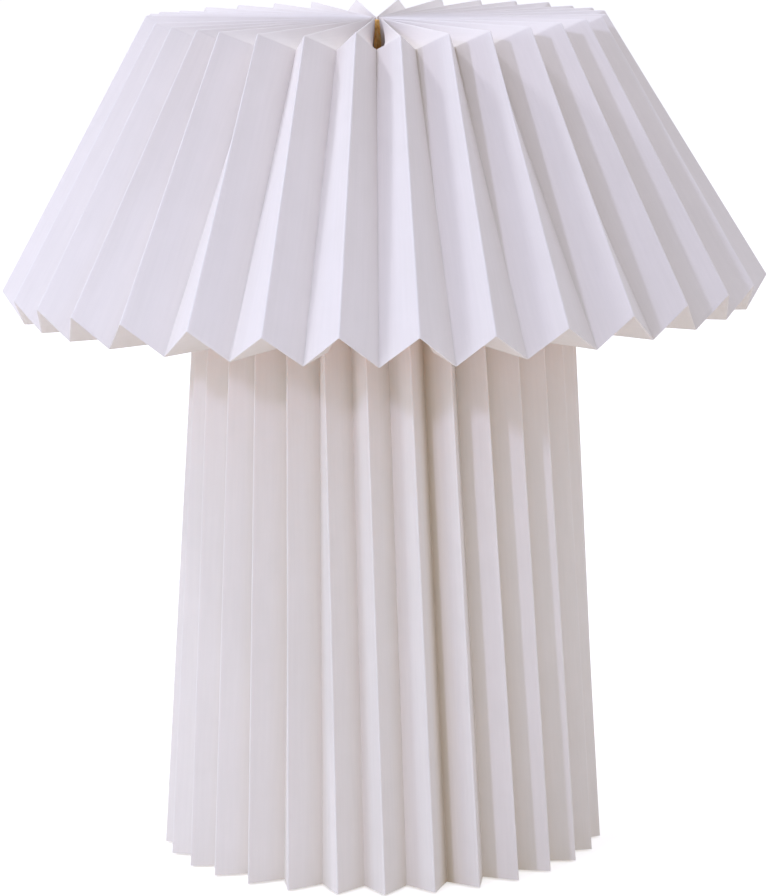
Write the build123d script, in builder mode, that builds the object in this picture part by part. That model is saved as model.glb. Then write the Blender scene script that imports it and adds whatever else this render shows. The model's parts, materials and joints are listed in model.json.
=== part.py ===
from build123d import *
import math
import os

os.makedirs("parts", exist_ok=True)

# Pleated paper table lamp. Millimetres, +Z up, the origin on the table under the middle of the base.
# -Y is the front. A pleat angle of 0 degrees points to the front and grows towards +X.

# ---------------------------------------------------------------- driving dimensions
# paper shade
SHADE_PLEATS = 32
SHADE_RIM_RIDGE = (170.0, 260.0)        # radius, height of a ridge fold at the rim
SHADE_RIM_VALLEY = (163.0, 247.0)       # and of a valley fold
SHADE_RETURN_RIDGE = (122.0, 263.8)      # inner edge of the sheet, turned in under the rim
SHADE_RETURN_VALLEY = (118.0, 245.6)
SHADE_SHOULDER_RIDGE = (103.0, 378.0)
SHADE_SHOULDER_VALLEY = (86.6, 370.2)
SHADE_CENTRE_RIDGE = (5.0, 378.0)
SHADE_CENTRE_VALLEY = (5.0, 358.0)
SHADE_PHASE = 0.0                       # degrees: a valley fold faces the front
# paper column
COLUMN_PLEATS = 30
COLUMN_FOOT_Z = 0.8
COLUMN_TOP_Z = 268.0
COLUMN_FOOT_RIDGE = 100.5
COLUMN_FOOT_VALLEY = 85.8
COLUMN_TOP_RIDGE = 85.0
COLUMN_TOP_VALLEY = 69.4
COLUMN_TWIST = -6.0                     # degrees: the folds lean by half a pleat from foot to top
# paper thickness, as folded (across the sheet, and radially at a fold)
FOLD_HALF_WIDTH = 0.3
FOLD_DEPTH = 0.5
# base
PAD_R, PAD_H = 81.5, 2.0
BOARD_R, BOARD_H = 81.8, 1.6
PAN_R, PAN_H, PAN_WALL = 83.4, 13.0, 1.2
WEIGHT_R, WEIGHT_BOTTOM = 72.0, 4.4
INLET_Z = 8.5
INLET_BORE_R = 3.4
# stem
STEM_R, STEM_BORE_R = 5.0, 3.9
STEM_BOTTOM, STEM_TOP = 4.6, 226.0
NUT_AF, NUT_H = 14.0, 3.8
# wire frame
WIRE_R = 1.5
RIB_R = 1.25
LOWER_RING_R = 81.9
UPPER_RING_R, UPPER_RING_Z = 67.4, 262.0
SPIDER_T = 1.5
SPIDER_HUB_R = 38.0
SPIDER_ARM = 10.0
# small screw lampholder, lamp with the small (14 mm) screw cap
HOLDER_R, HOLDER_BORE_R = 14.0, 11.8
HOLDER_CAP_Z = 222.0
HOLDER_SHELL_Z = 240.0
HOLDER_TOP_Z = 280.0
SLEEVE_R = 7.25
BULB_CAP_R = 6.85
BULB_TIP_Z = 254.3
GLOBE_R, GLOBE_Z = 22.5, 303.0
# shade carrier
SEAT_R_IN, SEAT_R_OUT = 25.0, 37.0
SEAT_COLLAR_R = 29.2
HUB_RING_R = 31.0
GAP = 0.3                               # between pieces that move against each other

PAN_TOP = PAD_H + PAN_H
SPIDER_Z = UPPER_RING_Z + WIRE_R        # underside of the spider
SPIDER_TOP = SPIDER_Z + SPIDER_T


def finish(piece, name):
    piece.part.label = name
    export_step(piece.part, f"parts/{name}.step")


def mix(p, q, t):
    return tuple(a + (b - a) * t for a, b in zip(p, q))


# ---------------------------------------------------------------- folded sheets
# A pleated sheet is a closed body of flat facets. Each station is one line across the sheet:
# the ridge point, the valley point, the direction to the inner side in the radial plane, and a turn.
def around(r, z, degrees, aside=0.0):
    a = math.radians(degrees)
    return Vector(
        r * math.sin(a) + aside * math.cos(a), -r * math.cos(a) + aside * math.sin(a), z
    )


def facet(*points):
    return Face(Wire.make_polygon(list(points), close=True))


def folded_sheet(stations, pleats, phase):
    """Closed faceted body of a pleated sheet; valleys at phase, ridges half a pitch on."""
    pitch = 360.0 / pleats
    rows = []
    for ridge, valley, inward, turn in stations:
        row = []
        for k in range(pleats):
            v = phase + turn + k * pitch
            g = v + pitch / 2
            vi = (valley[0] + inward[0] * FOLD_DEPTH, valley[1] + inward[1] * FOLD_DEPTH)
            ri = (ridge[0] + inward[0] * FOLD_DEPTH, ridge[1] + inward[1] * FOLD_DEPTH)
            row.append(
                {
                    "vo": around(*valley, v),
                    "va": around(*vi, v, -FOLD_HALF_WIDTH),
                    "vb": around(*vi, v, FOLD_HALF_WIDTH),
                    "ra": around(*ridge, g, -FOLD_HALF_WIDTH),
                    "rb": around(*ridge, g, FOLD_HALF_WIDTH),
                    "ri": around(*ri, g),
                }
            )
        rows.append(row)
    faces = []

    def quad(a, b, c, d):
        faces.append(facet(a, b, c))
        faces.append(facet(a, c, d))

    for one, two in zip(rows, rows[1:]):
        for k in range(pleats):
            p, q = one[k], two[k]
            pn, qn = one[(k + 1) % pleats], two[(k + 1) % pleats]
            quad(p["vo"], p["ra"], q["ra"], q["vo"])       # outer side, valley to ridge
            quad(p["ra"], p["rb"], q["rb"], q["ra"])
            quad(p["rb"], pn["vo"], qn["vo"], q["rb"])     # outer side, ridge to next valley
            quad(p["vb"], p["ri"], q["ri"], q["vb"])       # inner side
            quad(p["ri"], pn["va"], qn["va"], q["ri"])
            quad(p["va"], p["vb"], q["vb"], q["va"])
    for row in (rows[0], rows[-1]):
        for k in range(pleats):
            p, pn = row[k], row[(k + 1) % pleats]
            faces.append(facet(p["va"], p["vb"], p["vo"]))
            quad(p["vb"], p["ri"], p["ra"], p["vo"])
            faces.append(facet(p["ra"], p["ri"], p["rb"]))
            quad(p["ri"], pn["va"], pn["vo"], p["rb"])
    return Solid(Shell(faces))


slope_dr = SHADE_RIM_VALLEY[0] - SHADE_SHOULDER_VALLEY[0]
slope_dz = SHADE_RIM_VALLEY[1] - SHADE_SHOULDER_VALLEY[1]
slope_len = math.hypot(slope_dr, slope_dz)
SIDE = (slope_dr / slope_len, slope_dz / slope_len)        # down the slope
SIDE_IN = (SIDE[1], -SIDE[0])                              # towards the inside of the shade

# the shade: 32 pleats gathered to the middle of the top, over the shoulder, down to the rim and turned in under it
shade_sheet = folded_sheet(
    [
        (SHADE_CENTRE_RIDGE, SHADE_CENTRE_VALLEY, (0.0, -1.0), 0.0),
        (
            mix(SHADE_CENTRE_RIDGE, SHADE_SHOULDER_RIDGE, 0.4),
            mix(SHADE_CENTRE_VALLEY, SHADE_SHOULDER_VALLEY, 0.4),
            (0.0, -1.0),
            0.0,
        ),
        (SHADE_SHOULDER_RIDGE, SHADE_SHOULDER_VALLEY, (-0.55, -0.95), 0.0),
        (
            mix(SHADE_SHOULDER_RIDGE, SHADE_RIM_RIDGE, 0.5),
            mix(SHADE_SHOULDER_VALLEY, SHADE_RIM_VALLEY, 0.5),
            SIDE_IN,
            0.0,
        ),
        (SHADE_RIM_RIDGE, SHADE_RIM_VALLEY, (-1.8, 1.0), 0.0),
        (SHADE_RETURN_RIDGE, SHADE_RETURN_VALLEY, (0.0, 1.0), 0.0),
    ],
    SHADE_PLEATS,
    SHADE_PHASE,
)
# the front valley of the top is slit open, from the shoulder fold to the middle
SLIT_LEFT, SLIT_RIGHT = 1.9, 3.2
with BuildPart() as pleated_shade:
    add(shade_sheet)
    with BuildSketch(Plane.XY.offset(352)):
        with BuildLine():
            Polyline(
                (0, -85.9),
                (-SLIT_LEFT, -88.7),
                (-SLIT_LEFT, -30),
                (-0.5, -8),
                (0.5, -8),
                (SLIT_LEFT, -30),
                (SLIT_RIGHT, -90.7),
                close=True,
            )
        make_face()
    extrude(amount=30, mode=Mode.SUBTRACT)
finish(pleated_shade, "pleated_shade")

# the column: 30 pleats, wider at the foot, with an arched notch for the cord in the foot at the back
column_sheet = folded_sheet(
    [
        ((COLUMN_FOOT_RIDGE, COLUMN_FOOT_Z), (COLUMN_FOOT_VALLEY, COLUMN_FOOT_Z), (-1.0, 0.0), 0.0),
        (
            mix((COLUMN_FOOT_RIDGE, COLUMN_FOOT_Z), (COLUMN_TOP_RIDGE, COLUMN_TOP_Z), 0.5),
            mix((COLUMN_FOOT_VALLEY, COLUMN_FOOT_Z), (COLUMN_TOP_VALLEY, COLUMN_TOP_Z), 0.5),
            (-1.0, 0.0),
            COLUMN_TWIST / 2,
        ),
        ((COLUMN_TOP_RIDGE, COLUMN_TOP_Z), (COLUMN_TOP_VALLEY, COLUMN_TOP_Z), (-1.0, 0.0), COLUMN_TWIST),
    ],
    COLUMN_PLEATS,
    -180.0 / COLUMN_PLEATS,
)
NOTCH_HALF = 5.4
with BuildPart() as pleated_column:
    add(column_sheet)
    with BuildSketch(Plane(origin=(0, 90, 0), x_dir=(1, 0, 0), z_dir=(0, -1, 0))):
        with Locations((0, INLET_Z)):
            Circle(NOTCH_HALF)
        with Locations((0, (INLET_Z - 1) / 2)):
            Rectangle(2 * NOTCH_HALF, INLET_Z + 1)
    extrude(amount=20, both=True, mode=Mode.SUBTRACT)
finish(pleated_column, "pleated_column")

# ---------------------------------------------------------------- base
with BuildPart() as felt_pad:
    with BuildSketch():
        Circle(PAD_R)
    extrude(amount=PAD_H)
    fillet(felt_pad.edges().group_by(Axis.Z)[0], 0.6)
finish(felt_pad, "felt_pad")

with BuildPart() as base_cover_board:
    with BuildSketch(Plane.XY.offset(PAD_H)):
        Circle(BOARD_R)
    extrude(amount=BOARD_H)
finish(base_cover_board, "base_cover_board")

# spun steel pan, open below, with the stem hole in the middle and the cord inlet hole at the back
with BuildPart() as base_pan:
    with BuildSketch(Plane.XY.offset(PAD_H)):
        Circle(PAN_R)
    extrude(amount=PAN_H)
    fillet(base_pan.edges().group_by(Axis.Z)[-1], 1.0)
    with BuildSketch(Plane.XY.offset(PAD_H)):
        Circle(PAN_R - PAN_WALL)
    extrude(amount=PAN_H - PAN_WALL, mode=Mode.SUBTRACT)
    with BuildSketch(Plane.XY.offset(PAN_TOP)):
        Circle(STEM_R + 0.2)
    extrude(amount=-2 * PAN_WALL, mode=Mode.SUBTRACT)
    with BuildSketch(Plane(origin=(0, PAN_R + 3, INLET_Z), x_dir=(1, 0, 0), z_dir=(0, -1, 0))):
        Circle(4.65)
    extrude(amount=6, mode=Mode.SUBTRACT)
finish(base_pan, "base_pan")

# cast-iron weight: recess for the nut, groove for the cord from the inlet to the stem
with BuildPart() as base_weight:
    with BuildSketch(Plane.XY.offset(WEIGHT_BOTTOM)):
        Circle(WEIGHT_R)
        Circle(STEM_R + 0.3, mode=Mode.SUBTRACT)
    extrude(amount=PAN_TOP - PAN_WALL - WEIGHT_BOTTOM)
    chamfer(base_weight.edges().filter_by(GeomType.CIRCLE).sort_by(SortBy.RADIUS)[-2:], 0.8)
    with BuildSketch(Plane.XY.offset(WEIGHT_BOTTOM)):
        Circle(14)
    extrude(amount=5.0, mode=Mode.SUBTRACT)
    with BuildSketch(Plane.XY.offset(WEIGHT_BOTTOM)):
        with Locations((0, 40)):
            Rectangle(9, 70)
    extrude(amount=6.0, mode=Mode.SUBTRACT)
finish(base_weight, "base_weight")

with BuildPart() as stem_bottom_washer:
    with BuildSketch(Plane.XY.offset(WEIGHT_BOTTOM + NUT_H)):
        Circle(11)
        Circle(STEM_R + 0.2, mode=Mode.SUBTRACT)
    extrude(amount=1.2)
finish(stem_bottom_washer, "stem_bottom_washer")

with BuildPart() as stem_bottom_nut:
    with BuildSketch(Plane.XY.offset(WEIGHT_BOTTOM)):
        RegularPolygon(radius=NUT_AF / 2, side_count=6, major_radius=False)
        Circle(STEM_R + 0.03, mode=Mode.SUBTRACT)
    extrude(amount=NUT_H)
finish(stem_bottom_nut, "stem_bottom_nut")

with BuildPart() as stem_top_washer:
    with BuildSketch(Plane.XY.offset(PAN_TOP)):
        Circle(12)
        Circle(STEM_R + 0.2, mode=Mode.SUBTRACT)
    extrude(amount=1.2)
finish(stem_top_washer, "stem_top_washer")

with BuildPart() as stem_top_nut:
    with BuildSketch(Plane.XY.offset(PAN_TOP + 1.2)):
        RegularPolygon(radius=NUT_AF / 2, side_count=6, major_radius=False)
        Circle(STEM_R + 0.03, mode=Mode.SUBTRACT)
    extrude(amount=NUT_H)
finish(stem_top_nut, "stem_top_nut")

with BuildPart() as stem_tube:
    with BuildSketch(Plane.XY.offset(STEM_BOTTOM)):
        Circle(STEM_R)
        Circle(STEM_BORE_R, mode=Mode.SUBTRACT)
    extrude(amount=STEM_TOP - STEM_BOTTOM)
finish(stem_tube, "stem_tube")

# snap-in bushing that lines the cord inlet: two flanges either side of the pan's wall
with BuildPart() as cord_inlet_bushing:
    with BuildSketch(Plane(origin=(0, PAN_R + 0.1, INLET_Z), x_dir=(1, 0, 0), z_dir=(0, 1, 0))):
        Circle(5.9)
    extrude(amount=2.0)
    chamfer(cord_inlet_bushing.faces().sort_by(Axis.Y)[-1].edges(), 0.6)
    with BuildSketch(Plane(origin=(0, PAN_R + 0.1, INLET_Z), x_dir=(1, 0, 0), z_dir=(0, -1, 0))):
        Circle(4.6)
    extrude(amount=4.0)
    with BuildSketch(Plane(origin=(0, PAN_R - 2.0, INLET_Z), x_dir=(1, 0, 0), z_dir=(0, -1, 0))):
        Circle(4.85)
    extrude(amount=1.6)
    with BuildSketch(Plane(origin=(0, PAN_R + 4, INLET_Z), x_dir=(1, 0, 0), z_dir=(0, -1, 0))):
        Circle(INLET_BORE_R)
    extrude(amount=12, mode=Mode.SUBTRACT)
finish(cord_inlet_bushing, "cord_inlet_bushing")

# ---------------------------------------------------------------- wire frame of the column
with BuildPart() as column_lower_ring:
    with Locations((0, 0, PAN_TOP + WIRE_R)):
        Torus(LOWER_RING_R, WIRE_R)
finish(column_lower_ring, "column_lower_ring")

with BuildPart() as column_upper_ring:
    with Locations((0, 0, UPPER_RING_Z)):
        Torus(UPPER_RING_R, WIRE_R)
finish(column_upper_ring, "column_upper_ring")


def wire_path(start, end):
    """Plane at the wire's lower end, along the wire, and its length (points are radius, height at 45 degrees)."""
    c = math.sqrt(0.5)
    a = Vector(start[0] * c, start[0] * c, start[1])
    b = Vector(end[0] * c, end[0] * c, end[1])
    return Plane(origin=a, z_dir=(b - a)), (b - a).length


# four uprights welded inside the two rings
foot = (LOWER_RING_R - 2 * WIRE_R - 0.15, PAN_TOP + 0.15)
head = (UPPER_RING_R - 2 * WIRE_R - 0.12, UPPER_RING_Z + WIRE_R - 0.15)
upright_plane, upright_length = wire_path(foot, head)
with BuildPart() as one_upright:
    with BuildSketch(upright_plane):
        Circle(WIRE_R)
    extrude(amount=upright_length)
with BuildPart() as column_uprights:
    with PolarLocations(0, 4):
        add(one_upright.part)
finish(column_uprights, "column_uprights")

# pressed spider: a flat ring round the lampholder with four arms that lie on the upper ring
with BuildPart() as column_spider:
    with BuildSketch(Plane.XY.offset(SPIDER_Z)):
        Circle(SPIDER_HUB_R)
        with PolarLocations(0, 4, start_angle=45):
            with Locations((SPIDER_HUB_R / 2 + 68.4 / 2 - 2, 0)):
                Rectangle(68.4 - SPIDER_HUB_R + 4, SPIDER_ARM)
        Circle(HOLDER_R + 0.3, mode=Mode.SUBTRACT)
    extrude(amount=SPIDER_T)
finish(column_spider, "column_spider")

# ---------------------------------------------------------------- lampholder
with BuildPart() as lampholder_cap:
    with BuildSketch(Plane.XY.offset(HOLDER_CAP_Z)):
        Circle(HOLDER_R)
    extrude(amount=HOLDER_SHELL_Z - HOLDER_CAP_Z)
    fillet(lampholder_cap.edges().group_by(Axis.Z)[0], 2.5)
    with BuildSketch(Plane.XY.offset(HOLDER_CAP_Z + 3)):
        Circle(HOLDER_R - 1.6)
    extrude(amount=HOLDER_SHELL_Z - HOLDER_CAP_Z, mode=Mode.SUBTRACT)
    with BuildSketch(Plane.XY.offset(HOLDER_CAP_Z - 1)):
        Circle(STEM_R + 0.03)
    extrude(amount=6, mode=Mode.SUBTRACT)
finish(lampholder_cap, "lampholder_cap")

with BuildPart() as lampholder_shell:
    with BuildSketch(Plane.XY.offset(HOLDER_SHELL_Z)):
        Circle(HOLDER_R)
    extrude(amount=HOLDER_TOP_Z - HOLDER_SHELL_Z)
    with BuildSketch(Plane.XY.offset(SPIDER_Z - 2.2)):
        Circle(17)
    extrude(amount=2.2)
    fillet(lampholder_shell.edges().group_by(Axis.Z)[-1], 0.8)
    with BuildSketch(Plane.XY.offset(HOLDER_SHELL_Z)):
        Circle(HOLDER_BORE_R)
    extrude(amount=HOLDER_TOP_Z - HOLDER_SHELL_Z, mode=Mode.SUBTRACT)
finish(lampholder_shell, "lampholder_shell")

# threaded ring that clamps the spider against the shell's flange
with BuildPart() as lampholder_ring:
    with BuildSketch(Plane.XY.offset(SPIDER_TOP)):
        Circle(20)
        Circle(HOLDER_R + 0.03, mode=Mode.SUBTRACT)
        with PolarLocations(20.6, 18):
            Circle(1.3, mode=Mode.SUBTRACT)
    extrude(amount=5)
finish(lampholder_ring, "lampholder_ring")

with BuildPart() as lampholder_core:
    with BuildSketch(Plane.XY.offset(HOLDER_SHELL_Z + 0.4)):
        Circle(HOLDER_BORE_R - 0.2)
        with Locations((6.5, 0), (-6.5, 0)):
            Circle(1.55, mode=Mode.SUBTRACT)
    extrude(amount=11.2)
finish(lampholder_core, "lampholder_core")

CORE_TOP = HOLDER_SHELL_Z + 11.6
with BuildPart() as lampholder_screw_sleeve:
    with BuildSketch(Plane.XY.offset(CORE_TOP)):
        Circle(SLEEVE_R + 0.5)
        Circle(SLEEVE_R, mode=Mode.SUBTRACT)
    extrude(amount=20.0)
finish(lampholder_screw_sleeve, "lampholder_screw_sleeve")

# sprung middle contact: a bent tongue of sheet
with BuildPart() as lampholder_centre_contact:
    with BuildSketch(Plane(origin=(0, -2, 0), x_dir=(1, 0, 0), z_dir=(0, -1, 0))):
        with BuildLine():
            Polyline(
                (-5.5, CORE_TOP),
                (-1.0, CORE_TOP),
                (2.6, CORE_TOP + 1.9),
                (2.6, CORE_TOP + 2.4),
                (-1.2, CORE_TOP + 0.5),
                (-5.5, CORE_TOP + 0.5),
                close=True,
            )
        make_face()
    extrude(amount=-4)
finish(lampholder_centre_contact, "lampholder_centre_contact")

with BuildPart() as lampholder_terminal_screws:
    with BuildSketch(Plane.XY.offset(HOLDER_SHELL_Z - 1.8)):
        with Locations((6.5, 0), (-6.5, 0)):
            Circle(2.8)
    extrude(amount=2.1)
    with BuildSketch(Plane.XY.offset(HOLDER_SHELL_Z + 0.3)):
        with Locations((6.5, 0), (-6.5, 0)):
            Circle(1.5)
    extrude(amount=7)
    with BuildSketch(Plane.XY.offset(HOLDER_SHELL_Z - 1.8)):
        with Locations((6.5, 0), (-6.5, 0)):
            Rectangle(4.4, 0.7)
    extrude(amount=0.9, mode=Mode.SUBTRACT)
finish(lampholder_terminal_screws, "lampholder_terminal_screws")

# ---------------------------------------------------------------- light bulb
with BuildPart() as bulb_contact:
    with BuildSketch(Plane.XY.offset(BULB_TIP_Z)):
        Circle(2.4)
    extrude(amount=1.7)
    fillet(bulb_contact.edges().group_by(Axis.Z)[0], 0.8)
finish(bulb_contact, "bulb_contact")

# black insulator between the tip and the screw cap
with BuildPart() as bulb_insulator:
    with BuildSketch(Plane.XZ):
        with BuildLine():
            Polyline(
                (0, BULB_TIP_Z + 1.7),
                (2.9, BULB_TIP_Z + 1.7),
                (5.4, BULB_TIP_Z + 3.4),
                (5.4, BULB_TIP_Z + 3.7),
                (0, BULB_TIP_Z + 3.7),
                close=True,
            )
        make_face()
    revolve(axis=Axis.Z)
finish(bulb_insulator, "bulb_insulator")

CAP_BOTTOM = BULB_TIP_Z + 3.7 + GAP
# screw cap, its rounded thread drawn as rings of the real pitch
with BuildPart() as bulb_screw_cap:
    with BuildSketch(Plane.XZ):
        with BuildLine():
            pts = [(0, CAP_BOTTOM), (5.6, CAP_BOTTOM)]
            for turn in range(5):
                z = CAP_BOTTOM + 0.7 + turn * 2.822
                pts += [(6.25, z), (BULB_CAP_R, z + 0.9), (BULB_CAP_R, z + 1.5), (6.25, z + 2.4)]
            pts += [(6.25, CAP_BOTTOM + 15.7), (0, CAP_BOTTOM + 15.7)]
            Polyline(*pts, close=True)
        make_face()
    revolve(axis=Axis.Z)
finish(bulb_screw_cap, "bulb_screw_cap")

COLLAR_Z = CAP_BOTTOM + 15.7
globe_foot = GLOBE_Z - math.sqrt(GLOBE_R**2 - 10.2**2)
with BuildPart() as bulb_collar:
    with BuildSketch(Plane.XZ):
        with BuildLine():
            Polyline(
                (0, COLLAR_Z),
                (6.9, COLLAR_Z),
                (8.4, COLLAR_Z + 3),
                (10.2, globe_foot),
                (0, globe_foot),
                close=True,
            )
        make_face()
    revolve(axis=Axis.Z)
finish(bulb_collar, "bulb_collar")

with BuildPart() as bulb_globe:
    with Locations((0, 0, GLOBE_Z)):
        Sphere(GLOBE_R)
        Sphere(GLOBE_R - 0.8, mode=Mode.SUBTRACT)
    split(bisect_by=Plane.XY.offset(globe_foot), keep=Keep.TOP)
finish(bulb_globe, "bulb_globe")

# ---------------------------------------------------------------- shade carrier and wire frame of the shade
SEAT_Z = SPIDER_TOP + GAP
# loose plastic seat that the hub ring turns on; it lifts off with the shade
with BuildPart() as shade_seat_ring:
    with BuildSketch(Plane.XY.offset(SEAT_Z)):
        Circle(SEAT_R_OUT)
    extrude(amount=2.0)
    with BuildSketch(Plane.XY.offset(SEAT_Z)):
        Circle(SEAT_COLLAR_R)
    extrude(amount=7.5)
    chamfer(shade_seat_ring.edges().group_by(Axis.Z)[-1], 0.8)
    with BuildSketch(Plane.XY.offset(SEAT_Z)):
        Circle(SEAT_R_IN)
    extrude(amount=10, mode=Mode.SUBTRACT)
finish(shade_seat_ring, "shade_seat_ring")

HUB_Z = SEAT_Z + 2.0 + GAP + WIRE_R
with BuildPart() as shade_hub_ring:
    with Locations((0, 0, HUB_Z)):
        Torus(HUB_RING_R, WIRE_R)
finish(shade_hub_ring, "shade_hub_ring")

SHOULDER_RING = (83.0, 367.2)
with BuildPart() as shade_shoulder_ring:
    with Locations((0, 0, SHOULDER_RING[1])):
        Torus(SHOULDER_RING[0], WIRE_R)
finish(shade_shoulder_ring, "shade_shoulder_ring")

LOWER_ALONG = 85.0                       # down the slope from the shoulder
lower_on_fold = (
    SHADE_SHOULDER_VALLEY[0] + SIDE[0] * LOWER_ALONG,
    SHADE_SHOULDER_VALLEY[1] + SIDE[1] * LOWER_ALONG,
)
SHADE_RING = (lower_on_fold[0] + SIDE_IN[0] * 2.4, lower_on_fold[1] + SIDE_IN[1] * 2.4)
with BuildPart() as shade_lower_ring:
    with Locations((0, 0, SHADE_RING[1])):
        Torus(SHADE_RING[0], WIRE_R)
finish(shade_lower_ring, "shade_lower_ring")

arm_plane, arm_length = wire_path((HUB_RING_R + 2.45, HUB_Z + 1.35), (80.6, 365.6))
with BuildPart() as one_arm:
    with BuildSketch(arm_plane):
        Circle(RIB_R)
    extrude(amount=arm_length)
with BuildPart() as shade_arms:
    with PolarLocations(0, 4):
        add(one_arm.part)
finish(shade_arms, "shade_arms")

rib_from = (
    SHADE_SHOULDER_VALLEY[0] + SIDE[0] * 2.2 + SIDE_IN[0] * 2.15,
    SHADE_SHOULDER_VALLEY[1] + SIDE[1] * 2.2 + SIDE_IN[1] * 2.15,
)
rib_to = (
    SHADE_SHOULDER_VALLEY[0] + SIDE[0] * (LOWER_ALONG - 1.6) + SIDE_IN[0] * 2.3,
    SHADE_SHOULDER_VALLEY[1] + SIDE[1] * (LOWER_ALONG - 1.6) + SIDE_IN[1] * 2.3,
)
rib_plane, rib_length = wire_path(rib_from, rib_to)
with BuildPart() as one_rib:
    with BuildSketch(rib_plane):
        Circle(RIB_R)
    extrude(amount=rib_length)
with BuildPart() as shade_ribs:
    with PolarLocations(0, 4):
        add(one_rib.part)
finish(shade_ribs, "shade_ribs")

# kraft board that the gathered valleys are glued to, and the wooden dowel in its middle that the pleats close round:
# straight below, tapered at its top, with a tenon through the board
BOARD_TOP = SHADE_CENTRE_VALLEY[1] - FOLD_DEPTH - 0.2
TENON_R = 2.4
with BuildPart() as shade_top_board:
    with BuildSketch(Plane.XY.offset(BOARD_TOP)):
        Circle(70)
        Circle(TENON_R + 0.05, mode=Mode.SUBTRACT)
    extrude(amount=-1.5)
finish(shade_top_board, "shade_top_board")

with BuildPart() as shade_centre_dowel:
    with BuildSketch(Plane.XZ):
        with BuildLine():
            Polyline(
                (0, BOARD_TOP - 3.0),
                (TENON_R, BOARD_TOP - 3.0),
                (TENON_R, BOARD_TOP),
                (4.6, BOARD_TOP),
                (4.6, BOARD_TOP + 9.0),
                (1.5, SHADE_CENTRE_RIDGE[1] - 1.6),
                (1.0, SHADE_CENTRE_RIDGE[1] - 1.2),
                (0, SHADE_CENTRE_RIDGE[1] - 1.0),
                close=True,
            )
        make_face()
    revolve(axis=Axis.Z)
finish(shade_centre_dowel, "shade_centre_dowel")

print("column foot across ridges", 2 * COLUMN_FOOT_RIDGE)
print("shade across ridges", 2 * SHADE_RIM_RIDGE[0], "height", SHADE_SHOULDER_RIDGE[1])
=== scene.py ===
import json
import math

import bpy
import numpy as np
from mathutils import Matrix, Vector


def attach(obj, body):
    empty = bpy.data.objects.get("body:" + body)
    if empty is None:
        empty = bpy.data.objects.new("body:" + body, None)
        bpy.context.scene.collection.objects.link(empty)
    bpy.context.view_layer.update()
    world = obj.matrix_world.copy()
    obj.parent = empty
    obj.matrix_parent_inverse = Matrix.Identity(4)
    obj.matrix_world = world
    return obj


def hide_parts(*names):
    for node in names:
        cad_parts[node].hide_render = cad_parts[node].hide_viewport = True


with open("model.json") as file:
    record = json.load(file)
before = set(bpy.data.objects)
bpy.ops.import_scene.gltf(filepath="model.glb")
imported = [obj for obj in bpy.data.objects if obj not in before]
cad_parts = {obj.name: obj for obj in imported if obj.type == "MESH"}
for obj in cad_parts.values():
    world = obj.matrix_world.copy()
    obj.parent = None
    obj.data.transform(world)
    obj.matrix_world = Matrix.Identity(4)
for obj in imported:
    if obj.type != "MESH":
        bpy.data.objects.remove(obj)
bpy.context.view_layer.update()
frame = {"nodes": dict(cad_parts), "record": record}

MM = 0.001
rng = np.random.RandomState(11)
scene = bpy.context.scene

# ---------------------------------------------------------------- camera, at the picture's angle
PITCH, ROLL = 0.1825, 0.014
cam_data = bpy.data.cameras.new("camera")
cam_data.sensor_width = 36.0
cam_data.lens = 162.11
cam_data.shift_x = 0.0016
cam_data.clip_start = 0.05
cam_data.clip_end = 60.0
camera = bpy.data.objects.new("camera", cam_data)
scene.collection.objects.link(camera)
camera.matrix_world = (
    Matrix.Translation((0.0, -1.8094, 0.5159))
    @ Matrix.Rotation(math.pi / 2 - PITCH, 4, "X")
    @ Matrix.Rotation(-ROLL, 4, "Z")
)
scene.camera = camera

# ---------------------------------------------------------------- light: an even white surround, a softbox high on the left, a small one in front
scene.view_settings.view_transform = "Standard"
scene.view_settings.look = "None"
scene.view_settings.exposure = 0.0
scene.view_settings.gamma = 1.0

world = bpy.data.worlds.new("surround")
scene.world = world
world.use_nodes = True
wt = world.node_tree
lit_by = wt.nodes["Background"]
lit_by.inputs["Color"].default_value = (0.860, 0.853, 0.985, 1.0)
# a little brighter from the right, the front and above: 0.605 * (1 + 0.19 x - 0.05 y + 0.08 z)
facing = wt.nodes.new("ShaderNodeTexCoord")
toward = wt.nodes.new("ShaderNodeVectorMath")
toward.operation = "DOT_PRODUCT"
toward.inputs[1].default_value = (0.117, -0.031, 0.049)
level = wt.nodes.new("ShaderNodeMath")
level.operation = "ADD"
level.inputs[1].default_value = 0.605
wt.links.new(facing.outputs["Generated"], toward.inputs[0])
wt.links.new(toward.outputs["Value"], level.inputs[0])
wt.links.new(level.outputs[0], lit_by.inputs["Strength"])
seen = wt.nodes.new("ShaderNodeBackground")
seen.inputs["Color"].default_value = (1.0, 1.0, 1.0, 1.0)
seen.inputs["Strength"].default_value = 1.02
ray = wt.nodes.new("ShaderNodeLightPath")
either = wt.nodes.new("ShaderNodeMixShader")
wt.links.new(ray.outputs["Is Camera Ray"], either.inputs[0])
wt.links.new(lit_by.outputs[0], either.inputs[1])
wt.links.new(seen.outputs[0], either.inputs[2])
wt.links.new(either.outputs[0], wt.nodes["World Output"].inputs["Surface"])


def softbox(name, azimuth, elevation, distance, size, power, color):
    """azimuth from -Y towards -X, both angles in degrees; it looks at the middle of the lamp."""
    a, e = math.radians(azimuth), math.radians(elevation)
    data = bpy.data.lights.new(name, "AREA")
    data.shape = "DISK"
    data.size = size
    data.energy = power
    data.color = color
    o = bpy.data.objects.new(name, data)
    scene.collection.objects.link(o)
    target = Vector((0, 0, 0.26))
    way = Vector((-math.sin(a) * math.cos(e), -math.cos(a) * math.cos(e), math.sin(e)))
    o.location = target + way * distance
    o.rotation_euler = way.to_track_quat("Z", "Y").to_euler()
    return o


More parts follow.
